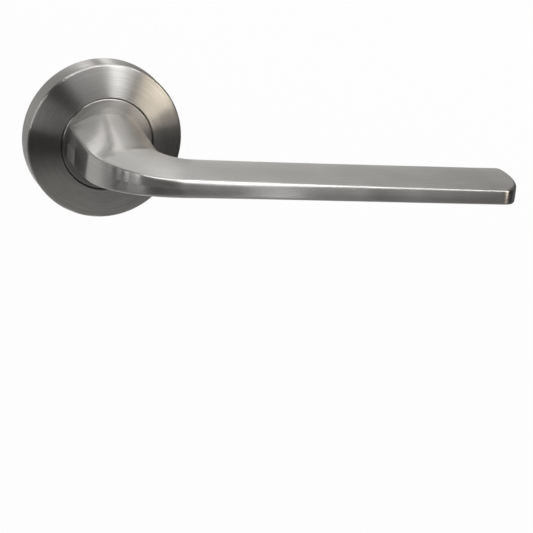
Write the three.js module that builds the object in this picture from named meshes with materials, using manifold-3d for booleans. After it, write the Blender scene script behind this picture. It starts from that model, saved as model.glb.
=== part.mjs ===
// Sprung door lever handle on a round rose, for one side of a door.
//
// Frame, in millimetres: the origin is on the spindle axis in the plane of the door's surface.
// -Y points out of the door towards the user, +Y into the door, +X along the grip, +Z up.
// Distances out from the door are called "out" below, so a point at out = 5 has y = -5.

import * as THREE from "three";
import { mergeVertices } from "three/addons/utils/BufferGeometryUtils.js";
import Module from "manifold-3d";

const wasm = await Module();
wasm.setup();

// ---------------------------------------------------------------- driving dimensions
const GAP = 0.3; // clearance between neighbouring pieces

const ROSE = {
  radius: 26, // 52 mm rose
  wall: 1.0,
  rimOut: 8.9, // height of the side wall
  faceOut: 12.2, // height of the face where it meets the collar disc
  edge: 0.55, // bright chamfer between side wall and face
  bore: 15.55, // hole that the collar disc fills
};
const FIX_SPACING = 38; // between the two fixing screws
const SHANK_RADIUS = 9;
const SHANK_FLAT = 8.4; // half distance across the shank's two drive flats
const SPINDLE = { side: 8, into: 25, outTo: 24 }; // square bar, depth into the door, end in the neck
const DISC = { radius: ROSE.bore - GAP, back: 10.7, front: ROSE.faceOut };

const PLATE = { radius: 24.4, thick: 3.2, bore: 10.6, recessRadius: 15, recess: 2.2 };
const HOUSING = { inner: 13.5, outer: 14.6, top: 9.4, earReach: 17.2, earRadius: 3, earThick: 1 };
const CAP = { back: 9.7, front: 10.3 };
const CAM = { outer: 10.7, back: 4.4, front: 9.2, lugThick: 1, lugReach: 13.1, lugHalfAngle: 17 };
const SPRING = { wire: 0.45, coil: 11.55, back: 6.2, pitch: 1.1, turns: 2.0 };
const CASSETTE = { shank: 1.2, head: 2.2 }; // radii of the housing's small screws
const STOP = { radius: 0.9, reach: 12.2, back: 2.3, front: 5.3 };
const TRAVEL = 60; // degrees that the lever turns down
const CAM_ANGLE = 215; // where the cam's lug points at rest, from +X towards +Z

const LEVER = {
  base: ROSE.faceOut + GAP, // out of the neck's foot
  neckOuterX: -13.4, // flat side of the neck
  neckInnerX: 13.2, // rounded side of the neck
  neckOuterEnd: 38, // out where the flat side starts to bend
  neckInnerEnd: 31,
  outerBend: [25.5, 25.2], // half-axes in X and out of the outer bend
  innerBend: [8.5, 7.3],
  gripFront: 63.2, // out of the grip's front edge
  gripRear: [38.3, 33.3], // out of its rear edge, at the bend and at the tip
  tipX: 128.4,
  tipRear: 4, // corner radius of the blade's rear corner
  tipFront: [6.4, 21.2], // the end's long curve to the front edge: its reach in X and in depth
  faceHalf: [5.15, 4.65, 2.95, 2.2], // half height of the flat face: foot, bend start, bend end, tip
  crownHalf: [10.3, 7.0, 4.5, 3.2], // half height of the crown at the same places
  edgeRound: 0.7,
  peak: 0.46, // where the crown is highest, as a share of the width from the flat face
  fullness: [2, 2.8], // roundness of the far side, at the neck and along the grip
  tipRoll: 3, // length over which the end rolls off
};

// ---------------------------------------------------------------- finishes
const FINISH = {
  satin: { color: 0x9c9b98, roughness: 0.34, metalness: 1 },
  turned: { color: 0xa3a29f, roughness: 0.3, metalness: 1 },
  steel: { color: 0x8f9194, roughness: 0.45, metalness: 1 },
  zinc: { color: 0x85878a, roughness: 0.6, metalness: 0.9 },
  spring: { color: 0x55575b, roughness: 0.35, metalness: 1 },
  plated: { color: 0xb9b39a, roughness: 0.4, metalness: 1 },
  nylon: { color: 0x2b2c2e, roughness: 0.6, metalness: 0 },
};

// ---------------------------------------------------------------- helpers
const rad = THREE.MathUtils.degToRad;
const lerp = THREE.MathUtils.lerp;

/** Position-only copy with shared vertices and outward faces. */
function closed(geometry) {
  const bare = geometry.clone();
  bare.deleteAttribute("normal");
  bare.deleteAttribute("uv");
  const merged = mergeVertices(bare, 1e-4);
  const index = Array.from(merged.index.array);
  const tris = [];
  for (let i = 0; i < index.length; i += 3) {
    const [a, b, c] = index.slice(i, i + 3);
    if (a !== b && b !== c && c !== a) tris.push(a, b, c);
  }
  merged.setIndex(tris);
  if (signedVolume(merged) < 0) {
    for (let i = 0; i < tris.length; i += 3) [tris[i], tris[i + 1]] = [tris[i + 1], tris[i]];
    merged.setIndex(tris);
  }
  return merged;
}

function signedVolume(geometry) {
  const p = geometry.attributes.position;
  const at = (i) => new THREE.Vector3().fromBufferAttribute(p, i);
  const tris = geometry.index.array;
  let sum = 0;
  for (let i = 0; i < tris.length; i += 3) {
    sum += at(tris[i]).dot(at(tris[i + 1]).cross(at(tris[i + 2]))) / 6;
  }
  return sum;
}

function toSolid(geometry) {
  const g = closed(geometry);
  const vertProperties = new Float32Array(g.attributes.position.array);
  const triVerts = new Uint32Array(g.index.array);
  return new wasm.Manifold(new wasm.Mesh({ numProp: 3, vertProperties, triVerts }));
}

function toGeometry(solid) {
  const m = solid.getMesh();
  const g = new THREE.BufferGeometry();
  g.setAttribute("position", new THREE.BufferAttribute(new Float32Array(m.vertProperties), 3));
  g.setIndex(Array.from(m.triVerts));
  return g;
}

/** Joins the first list of shapes and cuts the second list from them. */
function build(add, cut = []) {
  const whole = add.map(toSolid).reduce((a, b) => a.add(b));
  return toGeometry(cut.map(toSolid).reduce((a, b) => a.subtract(b), whole));
}

/** Solid of revolution about the spindle axis from [radius, out] points. */
function turned(profile, segments = 40) {
  const points = profile.map(([r, out]) => new THREE.Vector2(r, -out));
  points.push(points[0].clone());
  return new THREE.LatheGeometry(points, segments);
}

/** Ring between two radii and two distances out. */
function ring(inner, outer, back, front, segments = 40) {
  return turned([[inner, back], [outer, back], [outer, front], [inner, front]], segments);
}

/** Round bar along the spindle axis, centred on x, z. */
function bar(radius, back, front, x = 0, z = 0, segments = 24) {
  const g = new THREE.CylinderGeometry(radius, radius, front - back, segments);
  return g.translate(x, -(back + front) / 2, z);
}

/** Box given by its x, out and z ranges. */
function block([x0, x1], [out0, out1], [z0, z1]) {
  const g = new THREE.BoxGeometry(x1 - x0, out1 - out0, z1 - z0);
  return g.translate((x0 + x1) / 2, -(out0 + out1) / 2, (z0 + z1) / 2);
}

/** Flat outline in X, Z raised from one distance out to another. */
function raised(shape, back, front, curveSegments = 24) {
  const g = new THREE.ExtrudeGeometry(shape, { depth: front - back, bevelEnabled: false, curveSegments });
  return g.rotateX(Math.PI / 2).translate(0, -back, 0);
}

/** Sector of a ring about the spindle axis; angles in degrees from +X towards +Z. */
function sector(inner, outer, middle, half, back, front) {
  const shape = new THREE.Shape();
  shape.absarc(0, 0, outer, rad(middle - half), rad(middle + half), false);
  shape.absarc(0, 0, inner, rad(middle + half), rad(middle - half), true);
  shape.closePath();
  return raised(shape, back, front, 8);
}

/** x, z of a point at a reach and an angle about the spindle axis. */
function polar(reach, angle) {
  return [reach * Math.cos(rad(angle)), reach * Math.sin(rad(angle))];
}

const handle = new THREE.Group();

/** Adds one named piece to the handle. */
function piece(name, finish, geometry) {
  const mesh = new THREE.Mesh(closed(geometry), new THREE.MeshStandardMaterial(FINISH[finish]));
  mesh.name = name;
  handle.add(mesh);
  return mesh;
}

// ---------------------------------------------------------------- lever
/** Values given at the four stations of the lever, eased between them. */
function station(values, s) {
  const i = Math.min(Math.floor(s), values.length - 2);
  return lerp(values[i], values[i + 1], s - i);
}

/** Plan of the lever at s: 0 foot, 1 bend start, 2 bend end, 3 tip. Points are [x, out]. */
function planAt(s) {
  const L = LEVER;
  const bendX = L.neckOuterX + L.outerBend[0];
  const innerX = L.neckInnerX + L.innerBend[0];
  if (s <= 1) {
    return {
      outer: [L.neckOuterX, lerp(L.base, L.neckOuterEnd, s)],
      inner: [L.neckInnerX, lerp(L.base, L.neckInnerEnd, s)],
    };
  }
  if (s <= 2) {
    const a = ((s - 1) * Math.PI) / 2;
    return {
      outer: [bendX - L.outerBend[0] * Math.cos(a), L.neckOuterEnd + L.outerBend[1] * Math.sin(a)],
      inner: [innerX - L.innerBend[0] * Math.cos(a), L.neckInnerEnd + L.innerBend[1] * Math.sin(a)],
    };
  }
  const bladeEnd = L.tipX - L.tipFront[0];
  const t = s - 2;
  return {
    outer: [lerp(bendX, bladeEnd, t), L.gripFront],
    inner: [lerp(innerX, bladeEnd, t), rearEdge(lerp(innerX, bladeEnd, t))],
  };
}

/** Out of the straight rear edge at x: the blade widens a little towards its tip. */
function rearEdge(x) {
  const start = LEVER.neckInnerX + LEVER.innerBend[0];
  return lerp(...LEVER.gripRear, (x - start) / (LEVER.tipX - start));
}

/** Front and rear edge of the blade's rounded end, at x. */
function tipEdges(x) {
  const L = LEVER;
  const [reach, depth] = L.tipFront;
  const quarter = (t) => 1 - Math.sqrt(1 - THREE.MathUtils.clamp(t, 0, 1) ** 2);
  const front = L.gripFront - depth * quarter((x - L.tipX + reach) / reach);
  const rear = rearEdge(x) + L.tipRear * quarter((x - L.tipX + L.tipRear) / L.tipRear);
  return [front, rear];
}

/** Half outline of a section, from the flat face across the crown to the far side: [across, up]. */
function sectionHalf(width, face, crown, fullness) {
  const points = [];
  const round = Math.min(LEVER.edgeRound, face * 0.45, width * 0.1);
  points.push([0, 0], [0, face - round], [round * 0.3, face - round * 0.3]);
  const { peak } = LEVER;
  const rise = 6;
  const fall = 7;
  for (let i = 0; i <= rise; i++) {
    const t = lerp(round / width, peak, i / rise);
    points.push([t * width, face + (crown - face) * Math.sin(((t / peak) * Math.PI) / 2)]);
  }
  for (let i = 1; i <= fall; i++) {
    const a = ((i / fall) * Math.PI) / 2;
    const across = peak + (1 - peak) * Math.sin(a) ** (2 / fullness);
    points.push([across * width, crown * Math.cos(a) ** (2 / fullness)]);
  }
  return points;
}

/** Closed ring of 3-D points of the section through an outer and an inner plan point. */
function sectionRing(outer, inner, face, crown, fullness) {
  const a = new THREE.Vector3(outer[0], -outer[1], 0);
  const across = new THREE.Vector3(inner[0], -inner[1], 0).sub(a);
  const width = across.length();
  across.normalize();
  const half = sectionHalf(width, face, crown, fullness);
  const place = ([u, z]) => a.clone().addScaledVector(across, u).setZ(z);
  const upper = half.map(place);
  const lower = half.slice(1, -1).reverse().map(([u, z]) => place([u, -z]));
  return [...upper, ...lower];
}

function leverRings() {
  const rings = [];
  const stops = [[0, 1, 5], [1, 2, 14], [2, 3, 6]];
  for (const [from, to, steps] of stops) {
    for (let i = from === 0 ? 0 : 1; i <= steps; i++) {
      const s = lerp(from, to, i / steps);
      const { outer, inner } = planAt(s);
      const fullness = lerp(...LEVER.fullness, THREE.MathUtils.clamp(s - 1, 0, 1));
      const [face, crown] = [station(LEVER.faceHalf, s), station(LEVER.crownHalf, s)];
      rings.push(sectionRing(outer, inner, face, crown, fullness));
    }
  }
  const start = LEVER.tipX - LEVER.tipFront[0];
  const steps = 12;
  const [face, crown] = [LEVER.faceHalf[3], LEVER.crownHalf[3]];
  for (let i = 1; i <= steps; i++) {
    const x = lerp(start, LEVER.tipX - 0.05, Math.sin(((i / steps) * Math.PI) / 2));
    const [front, rear] = tipEdges(x);
    const near = Math.min((LEVER.tipX - x) / LEVER.tipRoll, 1);
    const roll = lerp(0.6, 1, Math.sqrt(1 - (1 - near) ** 2)); // the end keeps 60% of its thickness
    rings.push(sectionRing([x, front], [x, rear], face * roll, crown * roll, LEVER.fullness[1]));
  }
  return rings;
}

/** Skin over rings of equal length, closed with a fan at each end. */
function loft(rings) {
  const count = rings[0].length;
  const positions = rings.flat().flatMap((p) => [p.x, p.y, p.z]);
  const index = [];
  for (let r = 0; r + 1 < rings.length; r++) {
    for (let i = 0; i < count; i++) {
      const j = (i + 1) % count;
      const [a, b, c, d] = [r * count + i, r * count + j, (r + 1) * count + i, (r + 1) * count + j];
      index.push(a, c, b, b, c, d);
    }
  }
  for (const [ring, flip] of [[0, true], [rings.length - 1, false]]) {
    const middle = rings[ring].reduce((a, b) => a.clone().add(b)).divideScalar(count);
    const hub = positions.length / 3;
    positions.push(middle.x, middle.y, middle.z);
    for (let i = 0; i < count; i++) {
      const [a, b] = [ring * count + i, ring * count + ((i + 1) % count)];
      index.push(...(flip ? [hub, a, b] : [hub, b, a]));
    }
  }
  const g = new THREE.BufferGeometry();
  g.setAttribute("position", new THREE.Float32BufferAttribute(positions, 3));
  g.setIndex(index);
  return g;
}

const socket = SPINDLE.side / 2 + GAP;
const GRUB = { radius: 2.5, out: 18 };
const GROOVE = { radius: 8.2, back: 0.5 - GAP / 2, front: 1.2 + GAP / 2 };
const shankBack = GAP; // the shank stops just short of the door

function leverHandle() {
  const shank = bar(SHANK_RADIUS, shankBack, LEVER.base + 2, 0, 0, 48);
  const flats = [1, -1].map((side) => {
    const z = [SHANK_FLAT * side, (SHANK_RADIUS + 1) * side].sort((a, b) => a - b);
    return block([-SHANK_RADIUS, SHANK_RADIUS], [0, CAM.front + GAP], z);
  });
  const groove = ring(GROOVE.radius, SHANK_RADIUS + 1, GROOVE.back, GROOVE.front, 48);
  const square = block([-socket, socket], [-1, SPINDLE.outTo + GAP], [-socket, socket]);
  const grub = new THREE.CylinderGeometry(GRUB.radius + GAP, GRUB.radius + GAP, 12, 24);
  grub.rotateX(Math.PI / 2).translate(0, -GRUB.out, -9);
  return build([loft(leverRings()), shank], [...flats, groove, square, grub]);
}

piece("lever_handle", "satin", leverHandle());

// Disc that closes the rose's bore and turns with the neck.
piece(
  "collar_disc",
  "turned",
  turned([
    [SHANK_RADIUS + GAP, DISC.back],
    [DISC.radius - 0.3, DISC.back],
    [DISC.radius, DISC.back + 0.3],
    [DISC.radius, DISC.front - 0.2],
    [DISC.radius - 0.2, DISC.front],
    [SHANK_RADIUS + GAP, DISC.front],
  ], 64),
);

// ---------------------------------------------------------------- spindle and its screw
const halfSide = SPINDLE.side / 2;
const bevel = 0.5; // on the bar's long edges
const spindleSection = new THREE.Shape([0, 90, 180, 270].flatMap((turn) => {
  return [[halfSide, halfSide - bevel], [halfSide - bevel, halfSide]].map(([x, z]) => {
    return new THREE.Vector2(x, z).rotateAround(new THREE.Vector2(), rad(turn));
  });
}));
piece("spindle", "steel", raised(spindleSection, -SPINDLE.into, SPINDLE.outTo));

/** Hexagonal bar of a socket's size, along the spindle axis. */
function hexagon(acrossFlats, back, front) {
  return new THREE.CylinderGeometry(acrossFlats / Math.sqrt(3), acrossFlats / Math.sqrt(3), front - back, 6)
    .translate(0, -(back + front) / 2, 0);
}
const grubLength = 5;
const grubScrew = build([bar(GRUB.radius, 0, grubLength)], [hexagon(2.5, grubLength - 2, grubLength + 1)]);
grubScrew.rotateX(Math.PI / 2).translate(0, -GRUB.out, -(halfSide + GAP));
piece("grub_screw", "spring", grubScrew);

// ---------------------------------------------------------------- rose cover
const innerFace = ROSE.wall * 1.2;
piece(
  "rose_cover",
  "turned",
  turned([
    [ROSE.radius - ROSE.wall, 0.2],
    [ROSE.radius, 0.2],
    [ROSE.radius, ROSE.rimOut - ROSE.edge],
    [ROSE.radius - ROSE.edge * 0.3, ROSE.rimOut - ROSE.edge * 0.3],
    [ROSE.radius - ROSE.edge, ROSE.rimOut],
    [ROSE.bore + 0.2, ROSE.faceOut],
    [ROSE.bore, ROSE.faceOut - 0.2],
    [ROSE.bore, ROSE.faceOut - innerFace],
    [ROSE.radius - ROSE.wall - 0.8, ROSE.rimOut - innerFace],
    [ROSE.radius - ROSE.wall, ROSE.rimOut - innerFace - 0.8],
  ], 72),
);

// ---------------------------------------------------------------- mounting plate and fixings
const fixX = FIX_SPACING / 2;
const EARS = [90, 210, 330];
const FIX = { shank: 2.0, head: 3.6, hole: 2.3, tip: -18, sleeve: 4.0, sleeveInto: 9 };
const stopHalf = THREE.MathUtils.radToDeg(STOP.radius / STOP.reach);
const stopSlack = 2.0; // degrees left at each end of the cam's travel
const STOP_ANGLES = [
  CAM_ANGLE + CAM.lugHalfAngle + stopHalf + stopSlack,
  CAM_ANGLE - TRAVEL - CAM.lugHalfAngle - stopHalf - stopSlack,
];

function mountingPlate() {
  const disc = turned([
    [PLATE.bore, PLATE.recess],
    [PLATE.recessRadius, PLATE.recess],
    [PLATE.recessRadius, 0],
    [PLATE.radius, 0],
    [PLATE.radius, PLATE.thick - 0.5],
    [PLATE.radius - 0.5, PLATE.thick],
    [PLATE.bore, PLATE.thick],
  ], 64);
  const cuts = [];
  for (const side of [-1, 1]) {
    const sink = turned([
      [0, -1],
      [FIX.hole, -1],
      [FIX.hole, 0.9],
      [FIX.head + GAP, 2.4],
      [FIX.head + GAP, PLATE.thick + 1],
      [0, PLATE.thick + 1],
    ], 24);
    cuts.push(sink.translate(side * fixX, 0, 0), bar(FIX.sleeve + GAP, -1, 1, side * fixX, 0));
  }
  const through = PLATE.thick + 1;
  for (const angle of EARS) {
    cuts.push(bar(CASSETTE.shank + GAP, -1, through, ...polar(HOUSING.earReach, angle), 16));
  }
  for (const angle of STOP_ANGLES) {
    cuts.push(bar(STOP.radius + GAP, -1, through, ...polar(STOP.reach, angle), 16));
  }
  return build([disc], cuts);
}
piece("mounting_plate", "zinc", mountingPlate());

/** Countersunk wood screw with a ridged shank and a cross recess, on the spindle's axis. */
function fixingScrew() {
  const head = PLATE.thick - GAP;
  const profile = [[0, head], [FIX.head, head], [FIX.head, head - 0.3], [FIX.shank, 1.1]];
  const pitch = 2.4;
  const root = FIX.shank - 0.45;
  for (let out = -3; out > FIX.tip + 4; out -= pitch) {
    profile.push([root, out], [FIX.shank, out - pitch * 0.35], [root, out - pitch * 0.7]);
  }
  profile.push([root, FIX.tip + 3], [0, FIX.tip]);
  const arms = [[0.5, 2], [2, 0.5]].map(([x, z]) => block([-x, x], [head - 1.3, head + 1], [-z, z]));
  return build([turned(profile, 14)], arms);
}
[-1, 1].forEach((side, i) => {
  piece(`fixing_screw_${i + 1}`, "plated", fixingScrew()).position.set(side * fixX, 0, 0);
  const sleeve = ring(FIX.shank + 2 * GAP, FIX.sleeve, -FIX.sleeveInto, 1 - GAP, 24);
  piece(`locating_sleeve_${i + 1}`, "steel", sleeve).position.set(side * fixX, 0, 0);
});

// ---------------------------------------------------------------- bearing, washers and clip
piece("bearing_bush", "nylon", turned([
  [SHANK_RADIUS + GAP, PLATE.recess],
  [PLATE.bore - GAP, PLATE.recess],
  [PLATE.bore - GAP, PLATE.thick + GAP],
  [PLATE.bore + 0.3, PLATE.thick + GAP],
  [PLATE.bore + 0.3, CAM.back - GAP],
  [SHANK_RADIUS + GAP, CAM.back - GAP],
], 48));
piece("wave_washer", "spring", ring(SHANK_RADIUS + GAP, 10.9, 1.5, 1.9, 40));

/** Open retaining ring with two eyes, seated in the shank's groove. */
function circlip() {
  const [back, front] = [0.5, 1.2];
  const eyes = [62, 118].map((angle) => bar(1.3, back, front, ...polar(10.4, angle), 16));
  const holes = [62, 118].map((angle) => bar(0.6, back - 1, front + 1, ...polar(10.5, angle), 12));
  const gap = sector(GROOVE.radius - 2, 14, 90, 20, back - 1, front + 1);
  return build([ring(GROOVE.radius + GAP, 10.2, back, front, 48), ...eyes], [gap, ...holes]);
}
piece("circlip", "spring", circlip());

// ---------------------------------------------------------------- spring cassette
/** Outline of the shank with its two flats, grown by an allowance. */
function flattedCircle(radius, flat) {
  const shape = new THREE.Path();
  const half = Math.asin(flat / radius);
  shape.absarc(0, 0, radius, -half, half, false);
  shape.absarc(0, 0, radius, Math.PI - half, Math.PI + half, false);
  shape.closePath();
  return shape;
}

function springCam() {
  const outline = new THREE.Shape().absarc(0, 0, CAM.outer, 0, Math.PI * 2, false);
  outline.holes.push(flattedCircle(SHANK_RADIUS + GAP, SHANK_FLAT + GAP));
  const hub = raised(outline, CAM.back, CAM.front, 24);
  const lugFront = CAM.back + CAM.lugThick;
  const lug = sector(CAM.outer - 0.3, CAM.lugReach, CAM_ANGLE, CAM.lugHalfAngle, CAM.back, lugFront);
  const finger = sector(12.2, CAM.lugReach, CAM_ANGLE, 6, CAM.back, lugFront + 1.8);
  return build([hub, lug, finger]);
}
piece("spring_cam", "steel", springCam());

/** Path of the torsion spring: radial tail, two turns about the spindle axis, radial tail. */
class SpringPath extends THREE.Curve {
  getPoint(t, target = new THREE.Vector3()) {
    const tail = 0.05; // share of the path in each tail
    const coil = Math.min(Math.max((t - tail) / (1 - 2 * tail), 0), 1);
    const out = SPRING.back + coil * SPRING.pitch * SPRING.turns;
    const lift = t < tail ? (1 - t / tail) : Math.max(0, (t - 1 + tail) / tail);
    const reach = SPRING.coil + 1.9 * lift ** 1.6;
    const start = CAM_ANGLE + 13; // the first tail bears on the cam's finger
    const angle = start + coil * 360 * SPRING.turns + 5 * (t < tail ? -lift : lift);
    const [x, z] = polar(Math.min(reach, t < tail ? 12.6 : 14.2), angle);
    return target.set(x, -out, z);
  }
}
function returnSpring() {
  const wire = new THREE.Shape().absarc(0, 0, SPRING.wire, 0, Math.PI * 2, false);
  return new THREE.ExtrudeGeometry(wire, {
    extrudePath: new SpringPath(), steps: 90, curveSegments: 3, bevelEnabled: false,
  });
}
piece("return_spring", "spring", returnSpring());

function springHousing() {
  const back = PLATE.thick + GAP;
  const wall = ring(HOUSING.inner, HOUSING.outer, back, HOUSING.top, 40);
  const ears = EARS.map((angle) => {
    return bar(HOUSING.earRadius, back, back + HOUSING.earThick, ...polar(HOUSING.earReach, angle));
  });
  const holes = EARS.map((angle) => {
    return bar(CASSETTE.shank + GAP, back - 1, back + 3, ...polar(HOUSING.earReach, angle), 16);
  });
  const clear = bar(HOUSING.inner, back - 1, back + 3, 0, 0, 40);
  const notchBack = HOUSING.top - 2.2; // the spring's fixed tail rests in this notch
  const notch = sector(HOUSING.inner - 1, HOUSING.outer + 1, CAM_ANGLE + 17, 7, notchBack, HOUSING.top + 1);
  return build([wall, ...ears], [...holes, clear, notch]);
}
piece("spring_housing", "zinc", springHousing());
piece("housing_cap", "steel", ring(SHANK_RADIUS + GAP, HOUSING.outer, CAP.back, CAP.front, 40));

/** Pan-head screw with a cross recess that holds one ear of the housing. */
function cassetteScrew() {
  const seat = PLATE.thick + GAP + HOUSING.earThick + GAP;
  const { shank, head } = CASSETTE;
  const profile = [[0, 0.8], [shank - 0.2, 0.8], [shank, 1.2], [shank, seat], [head, seat]];
  profile.push([head, seat + 0.7], [head - 0.5, seat + 1.3], [0, seat + 1.5]);
  const arms = [[0.3, 1.2], [1.2, 0.3]].map(([x, z]) => block([-x, x], [seat + 0.6, seat + 3], [-z, z]));
  return build([turned(profile, 14)], arms);
}
EARS.forEach((angle, i) => {
  const [x, z] = polar(HOUSING.earReach, angle);
  piece(`cassette_screw_${i + 1}`, "plated", cassetteScrew()).position.set(x, 0, z);
});
STOP_ANGLES.forEach((angle, i) => {
  const pin = bar(STOP.radius, STOP.back, STOP.front, ...polar(STOP.reach, angle), 20);
  piece(`stop_pin_${i + 1}`, "steel", pin);
});

// ---------------------------------------------------------------- spring clips that hold the cover
const CLIP_ANGLES = [45, 135, 270];
/** Bent strip standing on the plate: foot, riser and the bump that presses on the cover's wall. */
function coverClip() {
  const foot = PLATE.thick + GAP;
  const front = [[20.4, 0], [23.3, 0], [23.7, 0.4], [24.65, 1.7], [23.7, 3.0], [23.4, 3.7]];
  const rear = [[23.0, 3.6], [23.3, 2.9], [24.1, 1.7], [23.2, 0.5], [20.4, 0.4]];
  const strip = new THREE.Shape([...front, ...rear].map(([reach, up]) => {
    return new THREE.Vector2(reach, -foot - up);
  }));
  const width = 5;
  const g = new THREE.ExtrudeGeometry(strip, { depth: width, bevelEnabled: false });
  return g.translate(0, 0, -width / 2);
}
CLIP_ANGLES.forEach((angle, i) => {
  piece(`cover_clip_${i + 1}`, "spring", coverClip()).rotation.y = -rad(angle);
});

export default handle;
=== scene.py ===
import logging
import math
from collections.abc import Callable, Sequence
from dataclasses import dataclass, field
from enum import Enum

import bmesh
import bpy
from mathutils import Matrix, Vector


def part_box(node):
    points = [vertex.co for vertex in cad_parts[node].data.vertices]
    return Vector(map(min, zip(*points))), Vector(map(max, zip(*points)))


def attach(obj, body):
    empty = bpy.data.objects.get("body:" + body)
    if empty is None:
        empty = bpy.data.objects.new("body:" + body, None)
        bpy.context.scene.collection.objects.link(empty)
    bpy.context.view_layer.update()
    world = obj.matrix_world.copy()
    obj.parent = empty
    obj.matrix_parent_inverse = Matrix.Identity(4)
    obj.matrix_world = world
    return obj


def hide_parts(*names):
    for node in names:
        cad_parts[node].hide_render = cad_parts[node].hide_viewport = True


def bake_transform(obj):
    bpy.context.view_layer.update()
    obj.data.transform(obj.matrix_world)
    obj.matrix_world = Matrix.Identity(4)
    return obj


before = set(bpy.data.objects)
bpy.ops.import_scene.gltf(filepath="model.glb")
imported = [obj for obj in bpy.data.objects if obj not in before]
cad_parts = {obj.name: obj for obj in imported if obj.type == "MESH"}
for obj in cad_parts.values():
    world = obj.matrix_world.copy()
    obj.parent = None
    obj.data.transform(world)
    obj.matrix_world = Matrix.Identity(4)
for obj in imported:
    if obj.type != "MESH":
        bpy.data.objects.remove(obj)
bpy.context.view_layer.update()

LOG = logging.getLogger("door_lever_handle")
MM = 0.001
EAR_REACH = 17.2 * MM  # from the spindle to the cassette's ears
EAR_ANGLES = (90, 210, 330)
STOP_PINS = ("stop_pin_1", "stop_pin_2")
SHANK_BORE = 9.3 * MM  # radius of what the shank passes through
PAST = 1.0 * MM  # how far a cutter stands past what it cuts
SAME_SPOT = 1e-7  # distance below which two points are one
SHARP = 30.0  # degrees above which an edge is shaded as sharp
BEVELLED_ABOVE = 40.0  # degrees above which an edge is rounded
BLADE_SHARP = 48.0  # the same on the cast blade, whose edges are softer
MIX_SOCKETS = {"RGBA": (6, 7, 2), "VECTOR": (4, 5, 1)}  # first, second and result of a mix node
Spot = tuple[float, float]
Profile = list[Spot]
Swell = Callable[[float, float], float]


class Body(Enum):
    """The bodies that pieces ride on."""

    ROSE = "rose"
    LEVER = "lever"
    COVER = "cover"


class Grain(Enum):
    """How a surface was worked, which sets the way its grain runs."""

    ALONG = "along"
    TURNED = "turned"
    CAST = "cast"


# ------------------------------------------------------------------ node helpers
class NodeSheet:
    """Places shader nodes in one tree and links them."""

    def __init__(self, tree: bpy.types.NodeTree) -> None:
        """Starts a sheet.

        Args:
            tree: The node tree to fill.
        """
        self.tree = tree
        self.count = 0

    def add(self, kind: str, inputs: dict | None = None, **settings: object) -> bpy.types.Node:
        """Adds a node.

        Args:
            kind: Node type without the ShaderNode prefix.
            inputs: Input name or index to a value, or to a socket that is linked to it.
            **settings: Attributes to set on the node.

        Returns:
            The node.
        """
        node = self.tree.nodes.new("ShaderNode" + kind)
        node.location = (220 * (self.count % 8), -260 * (self.count // 8))
        self.count += 1
        for name, value in settings.items():
            setattr(node, name, value)
        for key, value in (inputs or {}).items():
            if isinstance(value, bpy.types.NodeSocket):
                self.tree.links.new(value, node.inputs[key])
            else:
                node.inputs[key].default_value = value
        return node

    def math(
        self, operation: str, first: object, second: object = 0.0, third: object = 0.0
    ) -> bpy.types.NodeSocket:
        """Adds a math node and returns its output."""
        return self.add("Math", {0: first, 1: second, 2: third}, operation=operation).outputs[0]

    def vector(self, operation: str, first: object, second: object = (0, 0, 0)) -> bpy.types.Node:
        """Adds a vector math node and returns it."""
        return self.add("VectorMath", {0: first, 1: second}, operation=operation)

    def ramp(
        self, value: object, low: float, high: float, to_low: float, to_high: float
    ) -> bpy.types.NodeSocket:
        """Maps a value from one range to another, clamped.

        Args:
            value: Socket to map.
            low: Value that gives to_low.
            high: Value that gives to_high.
            to_low: Result at the low end.
            to_high: Result at the high end.

        Returns:
            The mapped socket.
        """
        inputs = {"Value": value, "From Min": low, "From Max": high, "To Min": to_low, "To Max": to_high}
        return self.add("MapRange", inputs).outputs["Result"]

    def mix(self, kind: str, share: object, first: object, second: object) -> bpy.types.NodeSocket:
        """Mixes two colours or two vectors by a share and returns the result."""
        low, high, result = MIX_SOCKETS[kind]
        return self.add("Mix", {0: share, low: first, high: second}, data_type=kind).outputs[result]


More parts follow.
